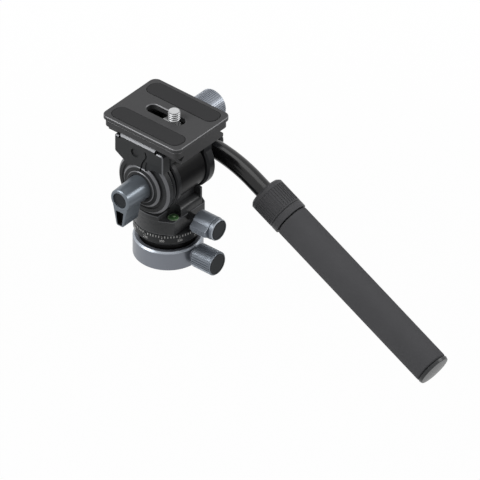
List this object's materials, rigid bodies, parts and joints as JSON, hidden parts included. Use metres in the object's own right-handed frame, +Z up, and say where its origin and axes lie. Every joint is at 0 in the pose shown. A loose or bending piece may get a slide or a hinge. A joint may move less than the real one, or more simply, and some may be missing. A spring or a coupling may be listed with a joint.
{
  "type": "fluid video head",
  "caption": "Fluid pan and tilt video head on a levelling base, with lock knobs, a quick-release camera plate and a foam-gripped telescopic handle.",
  "frame": {"origin": "centre of the base's bottom face, on the pan axis at rest, where the tripod screw enters", "axes": "+Z up to the camera plate, +X to the operator who holds the handle, -Y to the side with the tilt lock lever"},
  "size_m": [0.1879, 0.0782, 0.1211],
  "materials": {
    "black_metal": "fine satin black",
    "gloss_black": "gloss black",
    "grey_anodised": "satin grey anodised",
    "dark_plastic": "matt",
    "white_plastic": "natural acetal",
    "steel": "bright turned",
    "bronze": "turned",
    "rubber": "matt",
    "foam": "fine closed-cell foam",
    "green_vial": "clear over green fluid"
  },
  "bodies": {
    "base": {"base_ring": "grey_anodised", "base_plate": "black_metal", "thread_bush": "steel", "level_shoe": "bronze"},
    "level_lock_knob": {"level_knob": "grey_anodised", "level_knob_cap": "dark_plastic", "level_lock_screw": "steel"},
    "level_seat": {"ball_seat": "white_plastic"},
    "levelling_ball": {"level_ball": "black_metal", "scale_ring": "black_metal", "pan_shaft": "steel", "thrust_washer": "white_plastic", "pan_damper": "dark_plastic", "pan_nut": "steel"},
    "pan_body": {"pan_housing": "black_metal", "bubble_vial": "green_vial", "pan_shoe": "bronze", "tilt_barrel": "gloss_black", "barrel_cover": "black_metal", "drag_ring": "black_metal", "tilt_axle": "steel"},
    "pan_lock": {"pan_lock_knob": "grey_anodised", "pan_knob_cap": "dark_plastic", "pan_lock_screw": "black_metal"},
    "tilt_lock": {"tilt_lever": "grey_anodised", "lever_cap": "dark_plastic"},
    "tilt_body": {"near_side_plate": "black_metal", "far_side_plate": "black_metal", "platform": "black_metal", "near_bush": "bronze", "damper_rotor": "dark_plastic", "rotor_bush": "bronze", "guide_pin_front": "steel", "guide_pin_rear": "steel", "rosette_fixed": "black_metal"},
    "jaw": {"clamp_jaw": "black_metal"},
    "clamp_lock": {"clamp_collar": "grey_anodised", "clamp_knob": "grey_anodised", "clamp_knob_cap": "dark_plastic", "clamp_screw": "steel"},
    "plate": {"plate_body": "black_metal", "pad_near": "rubber", "pad_far": "rubber"},
    "slot_washer": {"screw_washer": "steel"},
    "mounting_screw": {"camera_screw": "steel"},
    "handle": {"rosette_handle": "black_metal", "handle_tube": "gloss_black", "tube_stop": "white_plastic"},
    "handle_lock": {"handle_clamp_knob": "black_metal", "handle_bolt": "steel"},
    "grip": {"grip_tube": "grey_anodised", "foam_grip": "foam", "end_cap": "gloss_black", "collet": "white_plastic"},
    "grip_collar": {"twist_collar": "dark_plastic"}
  },
  "joints": [
    {"name": "level_lock_turn", "type": "hinge", "parent": "base", "child": "level_lock_knob", "pos_m": [0.0206, 0, 0.0069], "axis": [1, 0, 0], "range_deg": [0, 360]},
    {"name": "level_roll", "type": "hinge", "parent": "base", "child": "level_seat", "pos_m": [0, 0, 0.0093], "axis": [1, 0, 0], "range_deg": [-6, 6]},
    {"name": "level_pitch", "type": "hinge", "parent": "level_seat", "child": "levelling_ball", "pos_m": [0, 0, 0.0093], "axis": [0, 1, 0], "range_deg": [-6, 6]},
    {"name": "pan", "type": "hinge", "parent": "levelling_ball", "child": "pan_body", "pos_m": [0, 0, 0.0227], "axis": [0, 0, 1], "continuous": true},
    {"name": "pan_lock_turn", "type": "hinge", "parent": "pan_body", "child": "pan_lock", "pos_m": [0.0214, 0, 0.029], "axis": [1, 0, 0], "range_deg": [0, 100]},
    {"name": "tilt_lock_turn", "type": "hinge", "parent": "pan_body", "child": "tilt_lock", "pos_m": [0, -0.02, 0.053], "axis": [0, -1, 0], "range_deg": [0, 110]},
    {"name": "tilt", "type": "hinge", "parent": "pan_body", "child": "tilt_body", "pos_m": [0, -0.0017, 0.053], "axis": [0, 1, 0], "range_deg": [-90, 60]},
    {"name": "jaw_slide", "type": "slide", "parent": "tilt_body", "child": "jaw", "axis": [0, 1, 0], "range_m": [0, 0.003]},
    {"name": "clamp_knob_turn", "type": "hinge", "parent": "jaw", "child": "clamp_lock", "pos_m": [-0.0008, 0.0207, 0.0735], "axis": [0, 1, 0], "range_deg": [0, 1080]},
    {"name": "plate_slide", "type": "slide", "parent": "tilt_body", "child": "plate", "axis": [1, 0, 0], "range_m": [-0.01, 0.01]},
    {"name": "screw_slide", "type": "slide", "parent": "plate", "child": "slot_washer", "axis": [1, 0, 0], "range_m": [-0.0144, 0.0032]},
    {"name": "screw_turn", "type": "hinge", "parent": "slot_washer", "child": "mounting_screw", "pos_m": [0.0056, -0.0017, 0.0848], "axis": [0, 0, 1], "continuous": true},
    {"name": "handle_angle", "type": "hinge", "parent": "tilt_body", "child": "handle", "pos_m": [0, 0.029, 0.053], "axis": [0, 1, 0], "range_deg": [-45, 45]},
    {"name": "handle_lock_turn", "type": "hinge", "parent": "handle", "child": "handle_lock", "pos_m": [0, 0.0343, 0.053], "axis": [0, 1, 0], "range_deg": [0, 360]},
    {"name": "grip_slide", "type": "slide", "parent": "handle", "child": "grip", "axis": [0.8846, 0, -0.4664], "range_m": [0, 0.04]},
    {"name": "collar_turn", "type": "hinge", "parent": "grip", "child": "grip_collar", "pos_m": [0.04158, 0.029, 0.0412], "axis": [0.8846, 0, -0.4664], "range_deg": [0, 60]}
  ],
  "couplings": [
    {"joint": "clamp_knob_turn", "follows": "jaw_slide", "rad_per_m": 6283.2}
  ]
}
